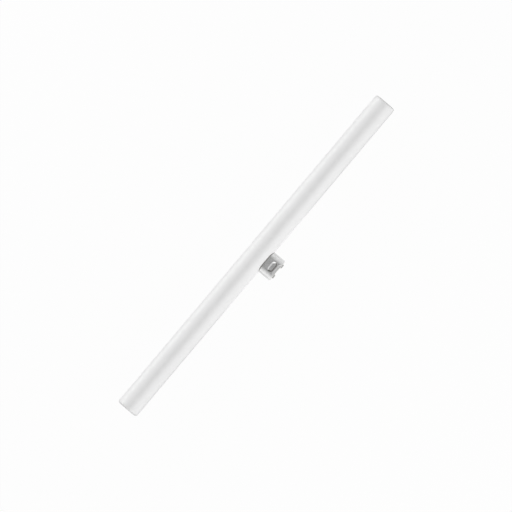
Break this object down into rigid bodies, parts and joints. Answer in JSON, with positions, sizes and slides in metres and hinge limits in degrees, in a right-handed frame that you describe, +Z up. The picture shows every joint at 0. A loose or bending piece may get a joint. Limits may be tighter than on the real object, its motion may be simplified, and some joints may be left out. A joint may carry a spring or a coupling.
{
  "type": "tubular light bulb",
  "caption": "Closed opal lamp tube with an oblong push-in metal cap in the middle of its length, carrying paired contacts on a moulded plug.",
  "frame": {"origin": "middle of the lamp's footprint on the surface it lies on, half way along the tube", "axes": "+X along the tube, +Z up, the cap points to -Y and slopes down to the surface"},
  "size_m": [0.5, 0.0487, 0.0295],
  "materials": {
    "opal": "opal white, light diffusing, semi-gloss",
    "cement": "matt basing cement",
    "shell": "satin drawn aluminium",
    "insulator": "moulded, fine matt",
    "contact": "nickel plated strip",
    "wire": "tinned wire",
    "solder": "dull solder"
  },
  "bodies": {
    "root": {"opal_tube": "opal", "basing_cement": "cement", "cap_shell": "shell", "cap_insulator": "insulator", "contact_left": "contact", "contact_right": "contact", "lead_wire_left": "wire", "lead_wire_right": "wire", "solder_joint_left": "solder", "solder_joint_right": "solder"}
  },
  "joints": []
}
